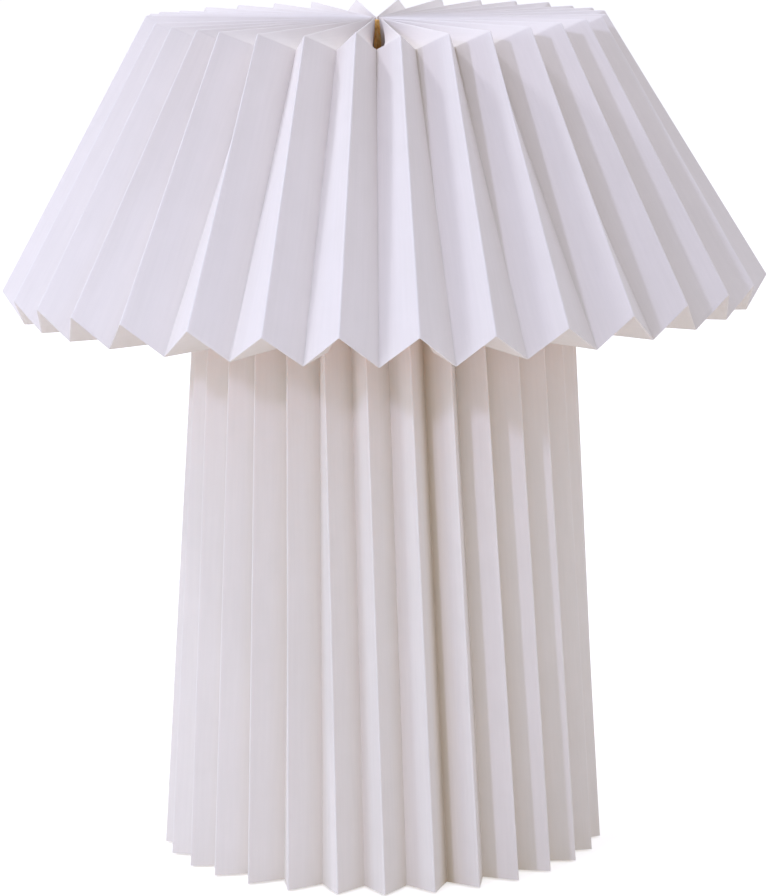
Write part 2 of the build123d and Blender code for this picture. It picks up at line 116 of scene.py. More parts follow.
softbox("softbox_left", 97, 54, 3.2, 0.34, 21.4, (0.847, 0.833, 1.0))
softbox("softbox_front", 31, 21, 3.2, 0.20, 19.05, (0.641, 0.669, 1.0))
softbox("softbox_low", 64, 8, 3.2, 1.3, 12.8, (0.716, 0.861, 1.0))
softbox("softbox_above", 170, 62, 3.2, 0.9, 27.0, (0.93, 0.93, 0.93))

# the light that gathers under the shade is warm: four faint ones stand in for it, round the bulb and well clear of it
for k, (x, y) in enumerate(((0.042, 0.042), (-0.042, 0.042), (-0.042, -0.042), (0.042, -0.042))):
    gathered = bpy.data.lights.new("under_shade_%d" % k, "POINT")
    gathered.energy = 0.056
    gathered.color = (1.0, 0.30, 0.04)
    gathered.shadow_soft_size = 0.012
    gathered_at = bpy.data.objects.new("under_shade_%d" % k, gathered)
    scene.collection.objects.link(gathered_at)
    gathered_at.location = (x, y, 0.335)


# ---------------------------------------------------------------- node helpers
def new_material(name):
    m = bpy.data.materials.new(name)
    m.use_nodes = True
    tree = m.node_tree
    bsdf = next(n for n in tree.nodes if n.type == "BSDF_PRINCIPLED")
    return m, tree, bsdf


def node(tree, kind, **values):
    n = tree.nodes.new(kind)
    for k, v in values.items():
        setattr(n, k, v)
    return n


def coordinates(tree, which="Object", scale=(1, 1, 1)):
    tc = node(tree, "ShaderNodeTexCoord")
    mp = node(tree, "ShaderNodeMapping")
    mp.inputs["Scale"].default_value = scale
    tree.links.new(tc.outputs[which], mp.inputs["Vector"])
    return mp.outputs["Vector"]


def noise(tree, vector, scale, detail=3.0, rough=0.5):
    n = node(tree, "ShaderNodeTexNoise")
    n.inputs["Scale"].default_value = scale
    n.inputs["Detail"].default_value = detail
    n.inputs["Roughness"].default_value = rough
    tree.links.new(vector, n.inputs["Vector"])
    return n.outputs["Fac"]


def ramp(tree, fac, stops):
    r = node(tree, "ShaderNodeValToRGB")
    el = r.color_ramp.elements
    while len(el) < len(stops):
        el.new(0.5)
    for e, (p, c) in zip(el, stops):
        e.position = p
        e.color = (*c, 1.0) if len(c) == 3 else c
    tree.links.new(fac, r.inputs["Fac"])
    return r.outputs["Color"]


def spread(tree, fac, low, high, to_low, to_high):
    r = node(tree, "ShaderNodeMapRange")
    r.inputs["From Min"].default_value = low
    r.inputs["From Max"].default_value = high
    r.inputs["To Min"].default_value = to_low
    r.inputs["To Max"].default_value = to_high
    tree.links.new(fac, r.inputs["Value"])
    return r.outputs["Result"]


def mixed(tree, fac, a, b, blend="MIX"):
    m = node(tree, "ShaderNodeMix", data_type="RGBA", blend_type=blend)
    for socket, v in ((m.inputs[0], fac), (m.inputs[6], a), (m.inputs[7], b)):
        if isinstance(v, (int, float)):
            socket.default_value = v
        elif isinstance(v, tuple):
            socket.default_value = (*v, 1.0)
        else:
            tree.links.new(v, socket)
    return m.outputs[2]


def math_node(tree, op, a, b=0.0):
    m = node(tree, "ShaderNodeMath", operation=op)
    for socket, v in ((m.inputs[0], a), (m.inputs[1], b)):
        if isinstance(v, (int, float)):
            socket.default_value = v
        else:
            tree.links.new(v, socket)
    return m.outputs[0]


def bump(tree, bsdf, heights):
    """heights: (socket, strength, distance in metres), chained."""
    last = None
    for h, strength, distance in heights:
        b = node(tree, "ShaderNodeBump")
        b.inputs["Strength"].default_value = strength
        b.inputs["Distance"].default_value = distance
        tree.links.new(h, b.inputs["Height"])
        if last is not None:
            tree.links.new(last, b.inputs["Normal"])
        last = b.outputs["Normal"]
    tree.links.new(last, bsdf.inputs["Normal"])


# ---------------------------------------------------------------- materials
def paper(name, light, dark, valley_shade_line, ridge_highlight, valley_shade_tone, deepest_shade_tone):
    """Uncoated white paper, with painted shade towards the valleys, a thin painted highlight along each ridge and a
    thin painted shade line along each valley. The UV map holds metres across and along the pleats, so the grain runs
    along the folds.
    """
    m, t, b = new_material(name)
    uv = coordinates(t, "UV")
    grain_at = coordinates(t, "UV", (1.0, 0.045, 1.0))
    obj = coordinates(t, "Object")
    cloud = noise(t, obj, 55.0, 4.0, 0.55)          # look-through of the pulp, 2 cm
    grain = noise(t, grain_at, 620.0, 3.0, 0.6)     # streaks along the pleat, 2 mm wide
    fibre = noise(t, uv, 2600.0, 4.0, 0.65)
    colour = ramp(t, cloud, [(0.32, dark), (0.68, light)])
    streak = ramp(t, grain, [(0.30, tuple(0.972 * c for c in (1, 1, 1))), (0.70, (1.0, 1.0, 1.0))])
    colour = mixed(t, 1.0, colour, streak, "MULTIPLY")
    # painted shade: towards the valleys the paper's colour is darkened and warmed, standing in for the warm shade held
    # between the pleats
    depth = node(t, "ShaderNodeAttribute", attribute_name="deep")
    near = spread(t, depth.outputs["Fac"], 0.45, 1.0, 0.0, 1.0)
    valley_shade_mask = math_node(t, "MULTIPLY", near, spread(t, cloud, 0.3, 0.7, 0.75, 1.0))
    colour = mixed(t, valley_shade_mask, colour, mixed(t, 1.0, colour, valley_shade_tone, "MULTIPLY"))
    # painted shade: where the deep attribute rises past 1, in the few darkest valleys, the colour is darkened further
    deepest_shade_mask = spread(t, depth.outputs["Fac"], 1.0, 2.0, 0.0, 1.0)
    colour = mixed(t, deepest_shade_mask, colour, mixed(t, 1.0, colour, deepest_shade_tone, "MULTIPLY"))
    # painted light and shade along the folds: a thin painted highlight along each ridge and a thin painted shade line
    # along each valley
    at = node(t, "ShaderNodeAttribute", attribute_name="fold")
    crease = spread(t, at.outputs["Fac"], 0.0, 1.0, 1.0, 0.0)
    broken = math_node(t, "MULTIPLY", crease, spread(t, noise(t, grain_at, 900.0, 2.0, 0.5), 0.35, 0.65, 0.25, 1.0))
    line = mixed(t, spread(t, depth.outputs["Fac"], 0.4, 0.6, 0.0, 1.0), ridge_highlight, valley_shade_line)
    colour = mixed(t, math_node(t, "MULTIPLY", broken, 0.8), colour, line)
    t.links.new(colour, b.inputs["Base Color"])
    t.links.new(spread(t, fibre, 0.3, 0.7, 0.80, 0.96), b.inputs["Roughness"])
    b.inputs["Specular IOR Level"].default_value = 0.28
    b.inputs["IOR"].default_value = 1.47
    bump(t, b, [(cloud, 0.10, 0.0006), (grain, 0.10, 0.0002), (fibre, 0.16, 0.00006)])
    return m


def painted(name, colour, speck=(0.78, 0.78, 0.76), rough=(0.34, 0.5)):
    m, t, b = new_material(name)
    obj = coordinates(t)
    peel = noise(t, obj, 900.0, 2.0, 0.4)
    wear = noise(t, obj, 90.0, 5.0, 0.65)
    t.links.new(mixed(t, spread(t, wear, 0.35, 0.75, 0.0, 0.8), colour, speck), b.inputs["Base Color"])
    t.links.new(spread(t, peel, 0.3, 0.7, *rough), b.inputs["Roughness"])
    bump(t, b, [(peel, 0.12, 0.0002)])
    return m


def moulded(name, colour, shade_colour, rough=(0.38, 0.52), grain_scale=1600.0):
    m, t, b = new_material(name)
    obj = coordinates(t)
    grain = noise(t, obj, grain_scale, 3.0, 0.6)
    flow = noise(t, obj, 35.0, 3.0, 0.5)
    t.links.new(mixed(t, spread(t, flow, 0.3, 0.7, 0.0, 1.0), colour, shade_colour), b.inputs["Base Color"])
    t.links.new(spread(t, grain, 0.3, 0.7, *rough), b.inputs["Roughness"])
    bump(t, b, [(grain, 0.15, 0.0001)])
    return m


def metal(name, colour, tint, rough=(0.22, 0.42), brushed=(1.0, 1.0, 0.05), scale=1500.0):
    m, t, b = new_material(name)
    lines = noise(t, coordinates(t, "Object", brushed), scale, 3.0, 0.55)
    patch = noise(t, coordinates(t), 160.0, 5.0, 0.6)
    t.links.new(mixed(t, spread(t, patch, 0.35, 0.7, 0.0, 1.0), colour, tint), b.inputs["Base Color"])
    b.inputs["Metallic"].default_value = 1.0
    t.links.new(spread(t, lines, 0.3, 0.7, *rough), b.inputs["Roughness"])
    bump(t, b, [(lines, 0.12, 0.00008)])
    return m


def cast(name):
    m, t, b = new_material(name)
    obj = coordinates(t)
    lumps = noise(t, obj, 260.0, 6.0, 0.7)
    rust = noise(t, obj, 60.0, 5.0, 0.6)
    base = ramp(t, lumps, [(0.3, (0.05, 0.05, 0.055)), (0.7, (0.12, 0.12, 0.125))])
    t.links.new(mixed(t, spread(t, rust, 0.55, 0.75, 0.0, 0.6), base, (0.17, 0.08, 0.045)), b.inputs["Base Color"])
    b.inputs["Metallic"].default_value = 0.35
    t.links.new(spread(t, lumps, 0.3, 0.7, 0.6, 0.9), b.inputs["Roughness"])
    bump(t, b, [(lumps, 0.6, 0.0006)])
    return m


def felt(name):
    m, t, b = new_material(name)
    obj = coordinates(t)
    hair = noise(t, obj, 1800.0, 6.0, 0.8)
    tuft = noise(t, obj, 240.0, 4.0, 0.6)
    t.links.new(ramp(t, hair, [(0.25, (0.50, 0.49, 0.46)), (0.75, (0.78, 0.76, 0.72))]), b.inputs["Base Color"])
    b.inputs["Roughness"].default_value = 0.95
    b.inputs["Sheen Weight"].default_value = 0.35
    b.inputs["Sheen Roughness"].default_value = 0.5
    bump(t, b, [(tuft, 0.4, 0.0006), (hair, 0.7, 0.0003)])
    return m


def board(name, light, dark, fleck):
    m, t, b = new_material(name)
    obj = coordinates(t)
    pulp = noise(t, obj, 140.0, 5.0, 0.6)
    fibre = noise(t, coordinates(t, "Object", (1.0, 0.12, 1.0)), 1100.0, 4.0, 0.7)
    colour = ramp(t, pulp, [(0.3, dark), (0.7, light)])
    colour = mixed(t, spread(t, fibre, 0.55, 0.8, 0.0, 0.55), colour, fleck)
    t.links.new(colour, b.inputs["Base Color"])
    t.links.new(spread(t, fibre, 0.3, 0.7, 0.75, 0.95), b.inputs["Roughness"])
    bump(t, b, [(fibre, 0.3, 0.00015)])
    return m


def wood(name):
    m, t, b = new_material(name)
    along = coordinates(t, "Object", (1.0, 1.0, 0.07))
    rings = noise(t, along, 900.0, 3.0, 0.6)
    pores = noise(t, along, 3200.0, 4.0, 0.7)
    colour = ramp(t, rings, [(0.30, (0.55, 0.25, 0.05)), (0.48, (0.93, 0.55, 0.15)), (0.72, (1.0, 0.78, 0.36))])
    colour = mixed(t, spread(t, pores, 0.58, 0.75, 0.0, 0.5), colour, (0.45, 0.23, 0.08))
    t.links.new(colour, b.inputs["Base Color"])
    t.links.new(spread(t, rings, 0.3, 0.7, 0.5, 0.7), b.inputs["Roughness"])
    bump(t, b, [(pores, 0.4, 0.0001)])
    return m


def ceramic(name, light, dark, rough=(0.25, 0.4)):
    m, t, b = new_material(name)
    obj = coordinates(t)
    body = noise(t, obj, 420.0, 5.0, 0.65)
    speck = noise(t, obj, 2400.0, 2.0, 0.5)
    colour = ramp(t, body, [(0.3, dark), (0.7, light)])
    colour = mixed(t, spread(t, speck, 0.68, 0.75, 0.0, 0.5), colour, tuple(0.6 * c for c in dark))
    t.links.new(colour, b.inputs["Base Color"])
    t.links.new(spread(t, body, 0.3, 0.7, *rough), b.inputs["Roughness"])
    bump(t, b, [(body, 0.15, 0.0002)])
    return m


def opal(name):
    m, t, b = new_material(name)
    obj = coordinates(t)
    coat = noise(t, obj, 150.0, 3.0, 0.5)
    dust = noise(t, obj, 1500.0, 4.0, 0.7)
    t.links.new(ramp(t, coat, [(0.3, (0.86, 0.85, 0.82)), (0.7, (0.93, 0.92, 0.90))]), b.inputs["Base Color"])
    t.links.new(spread(t, dust, 0.3, 0.7, 0.10, 0.24), b.inputs["Roughness"])
    b.inputs["Coat Weight"].default_value = 0.5
    b.inputs["Coat Roughness"].default_value = 0.06
    bump(t, b, [(coat, 0.05, 0.0004)])
    return m


shade_paper = paper("shade_paper", (0.912, 0.874, 0.845), (0.894, 0.858, 0.826), (0.70, 0.665, 0.62), (0.96, 0.935, 0.92), (0.96, 0.955, 0.935), (0.80, 0.77, 0.70))
column_paper = paper("column_paper", (0.925, 0.893, 0.850), (0.905, 0.874, 0.828), (0.70, 0.655, 0.59), (0.965, 0.94, 0.915), (0.955, 0.935, 0.895), (0.76, 0.70, 0.60))

by_slot = {
    "kraft_board": board("kraft_board", (0.74, 0.46, 0.20), (0.60, 0.35, 0.13), (0.85, 0.60, 0.33)),
    "grey_board": board("grey_board", (0.45, 0.43, 0.40), (0.34, 0.33, 0.31), (0.62, 0.60, 0.56)),
    "felt": felt("felt"),
    "white_steel": painted("white_steel", (0.86, 0.86, 0.84)),
    "white_wire": painted("white_wire", (0.88, 0.88, 0.86), rough=(0.28, 0.45)),
    "cast_iron": cast("cast_iron"),
    "zinc_steel": metal("zinc_steel", (0.62, 0.63, 0.65), (0.50, 0.52, 0.50)),
    "white_rubber": moulded("white_rubber", (0.80, 0.80, 0.77), (0.72, 0.72, 0.69), (0.6, 0.8)),
    "holder_plastic": moulded("holder_plastic", (0.86, 0.85, 0.81), (0.81, 0.80, 0.76)),
    "holder_ceramic": ceramic("holder_ceramic", (0.84, 0.82, 0.77), (0.74, 0.72, 0.67)),
    "contact_brass": metal("contact_brass", (0.78, 0.57, 0.25), (0.60, 0.42, 0.18), (0.25, 0.4)),
    "bulb_metal": metal("bulb_metal", (0.80, 0.80, 0.82), (0.68, 0.68, 0.70), (0.18, 0.34), (0.3, 0.3, 4.0)),
    "bulb_black": ceramic("bulb_black", (0.05, 0.05, 0.055), (0.025, 0.025, 0.03), (0.12, 0.25)),
    "bulb_white": moulded("bulb_white", (0.88, 0.88, 0.86), (0.84, 0.84, 0.82), (0.28, 0.4)),
    "opal_glass": opal("opal_glass"),
    "seat_plastic": moulded("seat_plastic", (0.85, 0.85, 0.84), (0.79, 0.79, 0.78)),
    "dowel_wood": wood("dowel_wood"),
    "shade_paper": shade_paper,
    "column_paper": column_paper,
}

for part in frame["record"]["subparts"]:
    o = frame["nodes"].get(part["node"])
    if o is None:
        continue
    for s in o.material_slots:
        s.material = by_slot[part["material_slot"]]

# ---------------------------------------------------------------- folded sheets
def polar(r, z, degrees):
    a = np.radians(degrees)
    return np.stack([r * np.sin(a), -r * np.cos(a), z + 0 * a], -1)


def unit(v):
    return v / np.maximum(np.linalg.norm(v, axis=-1, keepdims=True), 1e-12)


def panel_points(p, q, p_next, q_next, f, w, bow):
    """Points of one panel. p, q: the first fold's ends; p_next, q_next: the next fold's; f across, w along; bow: out of flat."""
    a = p + (q - p) * w
    b = p_next + (q_next - p_next) * w
    along = unit((q - p) + (q_next - p_next))
    across = unit(b - a)
    out = unit(np.cross(across, along))
    return a + (b - a) * f + out * bow


def sheet_mesh(name, rows, faces, verts, uvs, folds, deep, thickness):
    """A mesh of one sheet with the paper's thickness, from a grid of vertices."""
    used = sorted({i for f in faces for i in f})
    renumber = {old: new for new, old in enumerate(used)}
    mesh = bpy.data.meshes.new(name)
    mesh.from_pydata([tuple(verts[i] * MM) for i in used], [], [tuple(renumber[i] for i in f) for f in faces])
    layer = mesh.uv_layers.new(name="UVMap")
    for loop in mesh.loops:
        layer.data[loop.index].uv = uvs[used[loop.vertex_index]]
    fold = mesh.attributes.new("fold", "FLOAT", "POINT")
    fold.data.foreach_set("value", [float(folds[i]) for i in used])
    depth = mesh.attributes.new("deep", "FLOAT", "POINT")
    depth.data.foreach_set("value", [float(deep[i]) for i in used])
    o = bpy.data.objects.new(name, mesh)
    scene.collection.objects.link(o)
    solid = o.modifiers.new("thickness", "SOLIDIFY")
    solid.thickness = thickness * MM
    solid.offset = 0.0
    solid.use_even_offset = False
    bpy.context.view_layer.update()
    done = bpy.data.meshes.new_from_object(o.evaluated_get(bpy.context.evaluated_depsgraph_get()))
    o.modifiers.clear()
    o.data = done
    bpy.data.meshes.remove(mesh)
    done.name = name
    done.polygons.foreach_set("use_smooth", [True] * len(done.polygons))
    done.set_sharp_from_angle(angle=math.radians(62))
    return o


# ---- shade: 32 pleats, folds numbered from the front valley, even = valley, odd = ridge
N = 64
PITCH_S = 360.0 / N
# how far the hand-made folds stray from even spacing, in degrees, for the folds in front
shoulder_off = {
    -15: 0.0, -13: 1.6, -11: 1.7, -9: 1.5, -7: -1.8, -5: -1.5, -3: -0.5, -2: -0.2, -1: 0.7, 0: -0.2, 1: 0.0,
    2: -0.3, 3: 0.5, 4: -0.1, 5: 0.0, 7: 0.4, 9: 0.6, 11: 1.2, 13: 2.0,
}
rim_off = {
    -14: 3.4, -13: 2.0, -12: 2.2, -11: 1.1, -10: 1.0, -9: -0.5, -8: -0.2, -7: -1.0, -6: -0.5, -5: -0.4, -4: -0.5,
    -3: -0.2, -2: -0.4, -1: -0.4, 0: -0.5, 1: -0.4, 2: -0.5, 3: -0.8, 4: -0.8, 5: -1.0, 6: -0.4, 7: -1.3, 8: -0.8,
    9: -1.4, 10: -1.5, 11: -1.8, 12: -2.7, 13: -2.7, 14: -3.2,
}
# and from even height, in millimetres
rim_lift = {
    -14: 0.4, -13: 0.1, -12: 0.6, -11: 0.3, -10: 0.5, -9: 0.2, -8: 0.4, -7: 0.4, -6: -0.1, -5: 0.0, -4: 0.0, -3: -1.1,
    -2: -0.8, -1: -0.6, 0: -1.3, 1: -1.0, 2: -1.6, 3: -1.6, 4: -0.4, 5: -0.6, 6: 0.8, 7: 1.7, 8: 1.7, 9: 2.5, 10: 2.2,
    11: 3.0, 12: 2.6, 13: 3.0, 14: 2.6,
}
shoulder_lift = {
    -19: 1.6, -17: 2.2, -15: 3.0, -13: 1.2, -11: 0.8, -9: 0.6, -7: 0.4, -5: 0.3, -3: -0.1, -1: 1.4, 1: -0.4, 3: 0.1,
    5: 0.3, 7: 1.0, 9: 1.4, 11: 1.4, 13: 0.8,
}

centre, shoulder, rim, turned = [], [], [], []
for j in range(N):
    s = j if j < N // 2 else j - N
    ridge = j % 2 == 1
    jit = rng.uniform(-1, 1, 8)
    a = s * PITCH_S
    sin_a, cos_a = math.sin(math.radians(a)), math.cos(math.radians(a))
    ro = rim_off.get(s, 0.5 * jit[0])
    if s in shoulder_off:
        so = shoulder_off[s]
    elif ridge or abs(s) > 15:
        so = 0.5 * jit[1]
    else:
        so = 0.5 * (shoulder_off.get(s - 1, 0.0) + shoulder_off.get(s + 1, 0.0))
    # the shade sits a touch out of level
    rl = rim_lift.get(s, 0.6 + 1.3 * sin_a - 1.2 * cos_a + 0.4 * jit[2])
    sl = shoulder_lift.get(s, 0.6 + 0.35 * jit[3])
    wide = (3.6 if sin_a > 0 else 0.9) * sin_a**2
    # round the dowel the folds on both sides of the slit are pushed apart
    push = 0.0
    if s > 0:
        push = 21.0 * math.exp(-(s - 1) / 5.5)
    elif s < 0:
        push = -10.0 * math.exp(-(-s - 1) / 5.5)
    if ridge:
        centre.append(polar(3.0, 378.0 + 0.3 * jit[4], a + push))
        shoulder.append(polar(102.8 + 0.3 * jit[5], 378.0 + sl, a + so))
        rim.append(polar(170.0 + wide + 0.3 * jit[5], 260.0 + rl, a + ro))
        turned.append(polar(122.0 + jit[6], 263.8 + rl + 0.8 * jit[7], a + ro))
    else:
        centre.append(polar(5.4, 358.2, a + push))
        shoulder.append(polar(86.6 + 0.3 * jit[5], 370.2 + 0.5 * sl, a + so))
        rim.append(polar(163.0 + wide + 0.3 * jit[5], 247.0 + rl, a + ro))
        turned.append(polar(118.0 + jit[6], 245.8 + rl + 0.6 * jit[7], a + ro))
centre, shoulder, rim, turned = (np.array(v, float) for v in (centre, shoulder, rim, turned))
rim[:, 0] += 0.5
turned[:, 0] += 0.5

SIDE_ROWS = [0.0, 0.004, 0.018, 0.07, 0.15, 0.25, 0.36, 0.48, 0.60, 0.72, 0.84, 0.94, 0.985, 0.997]
TOP_ROWS = [0.0, 0.006, 0.03, 0.1, 0.2, 0.32, 0.44, 0.56, 0.67, 0.77, 0.86, 0.93, 1.0]
TURN_ROWS = [0.0, 0.008, 0.04, 0.15, 0.35, 0.6, 0.85, 1.0]
SLIT_LEFT, SLIT_RIGHT = 0.19, 0.33
E_S = 0.028                      # half the width of a fold's small radius, in panel widths


def slit_edge(b, left):
    if left:
        return np.interp(b, [0, 0.3, 0.573, 0.75, 0.87, 0.93, 1.0], [0.19, 0.30, 0.42, 0.576, 0.78, 0.93, 0.97])
    return np.interp(b, [0, 0.43, 0.66, 0.80, 0.91, 1.0], [0.33, 0.587, 0.78, 0.90, 0.97, 0.985])


def rounded(point, s, e, lo, hi):
    """point(s) with the fold nearest to s rounded over e on either side."""
    j = round(s)
    if abs(s - j) > e * 1.001 or not lo < j < hi:
        return point(s)
    t = (s - (j - e)) / (2 * e)
    return (1 - t) ** 2 * point(j - e) + 2 * t * (1 - t) * point(float(j)) + t * t * point(j + e)


def build_shade():
    bow_side = rng.uniform(-0.7, 0.35, N)
    bow_top = rng.uniform(-0.5, 0.2, N)
    skew = rng.uniform(-0.3, 0.3, N)
    # columns: position across the sheet, counted in folds. The sheet's ends meet in the front valley,
    # and a tab on the right end is glued behind the left end's panel.
    fr = [E_S, 0.07, 0.15, 0.28, 0.42, 0.58, 0.72, 0.85, 0.93, 1 - E_S, 1 - E_S / 2, 1.0, 1 + E_S / 2]
    columns = [-0.62, -0.45, -0.28, -0.13, -0.06, -E_S, -E_S / 2, 0.0, E_S / 2]
    for j in range(N):
        here = set(fr)
        if j == 0:
            here |= {SLIT_RIGHT}
        if j == N - 1:
            here = {f for f in here if f < 0.96} | {1 - SLIT_LEFT}
        columns += [j + f for f in sorted(here)]
    end = N - 0.022
    columns.append(end)
    rows = (
        [("top", b) for b in reversed(TOP_ROWS[1:])]
        + [("side", t) for t in SIDE_ROWS]
        + [("turn", t) for t in TURN_ROWS]
    )

    ends = {"top": (shoulder, centre), "side": (shoulder, rim), "turn": (rim, turned)}

    def raw(kind, w, s):
        """A point of the sheet with sharp folds."""
        j = int(math.floor(s + 1e-9))
        f = s - j
        p, q = ends[kind]
        a, b = j % N, (j + 1) % N
        # the slit: the panels beside the front valley are cut back from it on the top
        if kind == "top" and w > 0:
            if j == 0:
                e = slit_edge(w, False)
                f = e + (f - SLIT_RIGHT) / (1 - SLIT_RIGHT) * (1 - e) if f >= SLIT_RIGHT - 1e-9 else f
            elif j == N - 1:
                e = slit_edge(w, True)
                g = 1 - f
                g = e + (g - SLIT_LEFT) / (1 - SLIT_LEFT) * (1 - e) if g >= SLIT_LEFT - 1e-9 else g
                f = 1 - g
        shape = math.sin(math.pi * f) + skew[a] * math.sin(2 * math.pi * f)
        if kind == "side":
            out = bow_side[a] * shape * min(1.0, 0.25 + 1.1 * w)
        elif kind == "top":
            out = bow_top[a] * shape * (1 - w) * min(1.0, w * 8)
        else:
            out = 0.4 * bow_side[a] * shape * w
        if s < 0:
            out -= 0.36 * min(1.0, -s * 14)
        elif s > N - 0.5:
            out += 0.10 * (f - 0.5)
        sign = 1.0 if kind == "top" else -1.0
        return panel_points(p[a], q[a], p[b], q[b], f, w, out * sign)

    def folded(kind, w, s):
        return rounded(lambda t: raw(kind, w, t), s, E_S, -0.5, N - 0.5)

    def in_slit(s):
        return s < SLIT_RIGHT - 1e-6 or s > N - SLIT_LEFT + 1e-6

    nr, nc = len(rows), len(columns)
    verts = np.zeros((nr * nc, 3))
    uvs = np.zeros((nr * nc, 2))
    folds = np.zeros(nr * nc)
    deep = np.zeros(nr * nc)
    there = np.ones((nr, nc), bool)
    for r, (kind, w) in enumerate(rows):
        for c, s in enumerate(columns):
            if kind == "side" and w == 0.0 and not in_slit(s):
                p = 0.25 * folded("top", TOP_ROWS[1], s) + 0.5 * folded("side", 0.0, s) + 0.25 * folded("side", SIDE_ROWS[1], s)
            elif kind == "turn" and w == 0.0:
                p = 0.25 * folded("side", SIDE_ROWS[-1], s) + 0.5 * folded("turn", 0.0, s) + 0.25 * folded("turn", TURN_ROWS[1], s)
            else:
                p = folded(kind, w, s)
            verts[r * nc + c] = p
            v = {"top": -w * 100.0, "side": w * 136.0, "turn": 136.0 + w * 46.0}[kind]
            uvs[r * nc + c] = (s * 21.0 * MM, v * MM)
            folds[r * nc + c] = min(1.0, abs(s - round(s)) * 21.0 / 0.9)
            deep[r * nc + c] = abs((s % 2) - 1)
            # painted shade: the valleys at folds 2 and 4 are painted darkest at the shoulder, fading to the usual
            # valley shade a third of the way down
            if kind == "side" and w < 0.3 and abs(s - round(s)) < 0.06 and round(s) in (2, 4):
                deep[r * nc + c] = 1.9 - w / 0.3 * 0.9
            if kind == "top" and in_slit(s):
                there[r, c] = False
    faces = []
    for r in range(nr - 1):
        for c in range(nc - 1):
            if there[r, c] and there[r, c + 1] and there[r + 1, c] and there[r + 1, c + 1]:
                i = r * nc + c
                faces.append((i, i + nc, i + nc + 1, i + 1))
    return sheet_mesh("pleated_shade_sheet", rows, faces, verts, uvs, folds, deep, 0.30)


shade = build_shade()
shade.data.materials.append(shade_paper)
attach(shade, "shade")
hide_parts("pleated_shade")

# ---- column: 30 pleats, folds numbered from the front ridge, even = ridge, odd = valley
M = 60
PITCH_C = 360.0 / M
FOOT_Z, TOP_Z, TWIST = 0.8, 268.0, -6.0
foot_off = {
    -12: -0.7, -10: 0.4, -8: -0.5, -6: -0.7, -4: -0.7, -2: 0.4, 0: 0.3, 2: 0.9, 4: 0.9, 6: 0.5, 8: -0.1, 10: -0.5, 12: -1.2,
}
top_off = {-8: 1.5, -6: 0.6, -4: -0.1, -2: -0.4, 0: -0.1, 2: 0.6, 4: 0.5, 6: -0.5, 8: -0.2, 10: -0.4, 12: -0.8}
foot, head = [], []
for j in range(M):
    s = j if j < M // 2 else j - M
    ridge = j % 2 == 0
    jit = rng.uniform(-1, 1, 5)
    if ridge:
        fo, to = foot_off.get(s, 0.35 * jit[0]), top_off.get(s, 0.35 * jit[1])
        fr, tr = 100.9 + 0.25 * jit[2], 85.0 + 0.25 * jit[3]
    else:
        fo = 0.5 * (foot_off.get(s - 1, 0.0) + foot_off.get(s + 1, 0.0)) + 0.3 * jit[0]
        to = 0.5 * (top_off.get(s - 1, 0.0) + top_off.get(s + 1, 0.0)) + 0.3 * jit[1]
        fr, tr = 86.7 + 0.25 * jit[2], 69.9 + 0.25 * jit[3]
    if abs(s) >= 29:
        fo = 0.0
    foot.append(polar(fr, FOOT_Z, s * PITCH_C + fo))
    head.append(polar(tr, TOP_Z, s * PITCH_C + TWIST + to))
foot, head = np.array(foot, float), np.array(head, float)
# the column leans by a hair; at the back, round the cord's bushing, its foot stays nearly in place
round_at = np.abs([(j if j < M // 2 else j - M) * PITCH_C for j in range(M)])
foot[:, 0] -= 2.3 * np.clip((150 - round_at) / 35, 0.39, 1.0)
head[:, 0] += 1.8
C_ROWS = [0.0, 0.012, 0.05, 0.11, 0.18, 0.26, 0.34, 0.42, 0.5, 0.58, 0.66, 0.74, 0.82, 0.90, 0.96, 1.0]
C_JOINT = 2                      # the ridge where the sheet's two ends overlap
NOTCH_HALF, NOTCH_Z = 5.4, 8.5
E_C = 0.03


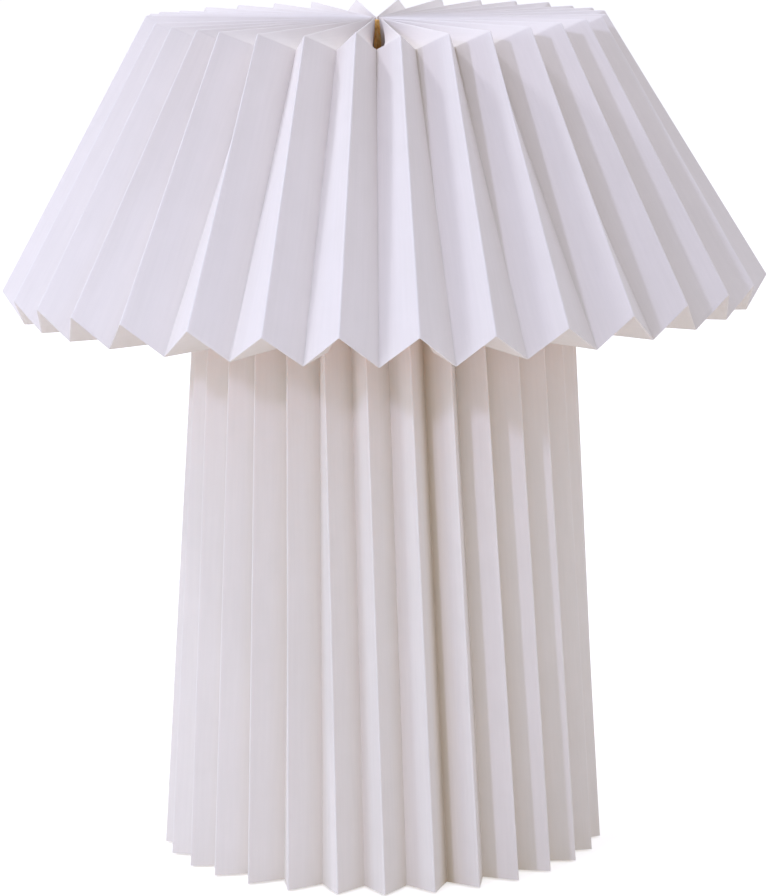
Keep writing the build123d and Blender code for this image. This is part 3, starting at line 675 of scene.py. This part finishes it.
def build_column():
    bow_of = rng.uniform(-0.45, 0.15, M)
    skew = rng.uniform(-0.3, 0.3, M)
    columns = [C_JOINT + f for f in (-0.55, -0.4, -0.25, -0.12, -0.06)]
    back = M // 2
    for j in range(C_JOINT, C_JOINT + M):
        fr = {-E_C, -E_C / 2, 0.0, E_C / 2, E_C, 0.08, 0.16, 0.28, 0.42, 0.58, 0.72, 0.84, 0.92}
        if j % M == back:
            fr = (fr | {0.35, 0.5, 0.55, 0.598, 0.604, 0.65}) - {0.58}
        if j % M == back - 1:
            fr = (fr | {0.65, 0.5, 0.45, 0.402, 0.396, 0.35}) - {0.42}
        columns += [j + f for f in sorted(fr)]
    end = C_JOINT + M + 0.15
    columns += [C_JOINT + M + f for f in (-E_C, -E_C / 2, 0.0, E_C / 2, E_C, 0.09, 0.15)]

    def raw(w, s, z_from=FOOT_Z):
        j = int(math.floor(s + 1e-9))
        f = s - j
        a, b = j % M, (j + 1) % M
        low = (z_from - FOOT_Z) / (TOP_Z - FOOT_Z)
        w = low + (1 - low) * w
        shape = math.sin(math.pi * f) + skew[a] * math.sin(2 * math.pi * f)
        bow = -bow_of[a] * shape * (1 - 0.35 * w)
        layer = 0.0
        if s < C_JOINT + 0.5:
            layer = 0.20 if s < C_JOINT else 0.20 * (1 - 2 * (s - C_JOINT))
        elif s > C_JOINT + M - 1:
            layer = -0.20 * min(1.0, 2 * (s - (C_JOINT + M - 1)))
        return panel_points(foot[a], head[a], foot[b], head[b], f, w, bow + layer)

    def folded(w, s, z_from):
        return rounded(lambda t: raw(w, t, z_from), s, E_C, columns[0], end)

    def foot_of(s):
        m = s % M
        if abs(m - back) > 0.6001:
            return FOOT_Z
        x = raw(0.0, s)[0]
        return NOTCH_Z + math.sqrt(max(0.0, NOTCH_HALF**2 - min(abs(x), NOTCH_HALF) ** 2))

    nr, nc = len(C_ROWS), len(columns)
    verts = np.zeros((nr * nc, 3))
    uvs = np.zeros((nr * nc, 2))
    folds = np.zeros(nr * nc)
    deep = np.zeros(nr * nc)
    lowest = [foot_of(s) for s in columns]
    for r, w in enumerate(C_ROWS):
        for c, s in enumerate(columns):
            p = folded(w, s, lowest[c])
            verts[r * nc + c] = p
            uvs[r * nc + c] = (s * 17.6 * MM, p[2] * MM)
            folds[r * nc + c] = min(1.0, abs(s - round(s)) * 17.6 / 0.45)
            deep[r * nc + c] = abs(((s + 1) % 2) - 1)
            # painted shade: the valley beside the joint, with two layers on its left side, is painted darkest
            deep[r * nc + c] += 0.9 * max(0.0, 1.0 - abs(s - C_JOINT - 1) / 0.7)
    faces = []
    for r in range(nr - 1):
        for c in range(nc - 1):
            i = r * nc + c
            faces.append((i, i + 1, i + nc + 1, i + nc))
    return sheet_mesh("pleated_column_sheet", C_ROWS, faces, verts, uvs, folds, deep, 0.30)


column = build_column()
column.data.materials.append(column_paper)
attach(column, "base")
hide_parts("pleated_column")

# ---------------------------------------------------------------- floor
floor_mesh = bpy.data.meshes.new("floor")
H = 9.0
floor_mesh.from_pydata([(-H, -H, 0), (H, -H, 0), (H, H, 0), (-H, H, 0)], [], [(0, 1, 2, 3)])
floor = bpy.data.objects.new("floor", floor_mesh)
scene.collection.objects.link(floor)
fm, ft, fb = new_material("pale_floor")
fcoord = coordinates(ft)
ft.links.new(
    ramp(ft, noise(ft, fcoord, 3.0, 3.0, 0.5), [(0.3, (0.70, 0.70, 0.70)), (0.7, (0.73, 0.73, 0.73))]),
    fb.inputs["Base Color"],
)
fb.inputs["Roughness"].default_value = 0.9
fb.inputs["Specular IOR Level"].default_value = 0.1
# seen straight on it is as white as the studio's paper roll, and the shadow on it stays faint
glow = node(ft, "ShaderNodeEmission")
glow.inputs["Strength"].default_value = 0.62
# the lit paper roll throws a little warm light back up
back_up = node(ft, "ShaderNodeEmission")
back_up.inputs["Color"].default_value = (1.0, 0.81, 0.38, 1.0)
back_up.inputs["Strength"].default_value = 0.168
lower = node(ft, "ShaderNodeAddShader")
fray = node(ft, "ShaderNodeLightPath")
both = node(ft, "ShaderNodeAddShader")
pick = node(ft, "ShaderNodeMixShader")
fout = next(n for n in ft.nodes if n.type == "OUTPUT_MATERIAL")
ft.links.new(fb.outputs[0], both.inputs[0])
ft.links.new(glow.outputs[0], both.inputs[1])
ft.links.new(fray.outputs["Is Camera Ray"], pick.inputs[0])
ft.links.new(fb.outputs[0], lower.inputs[0])
ft.links.new(back_up.outputs[0], lower.inputs[1])
ft.links.new(lower.outputs[0], pick.inputs[1])
ft.links.new(both.outputs[0], pick.inputs[2])
ft.links.new(pick.outputs[0], fout.inputs["Surface"])
floor_mesh.materials.append(fm)

# ---------------------------------------------------------------- bring the scene up to date
bpy.context.view_layer.update()
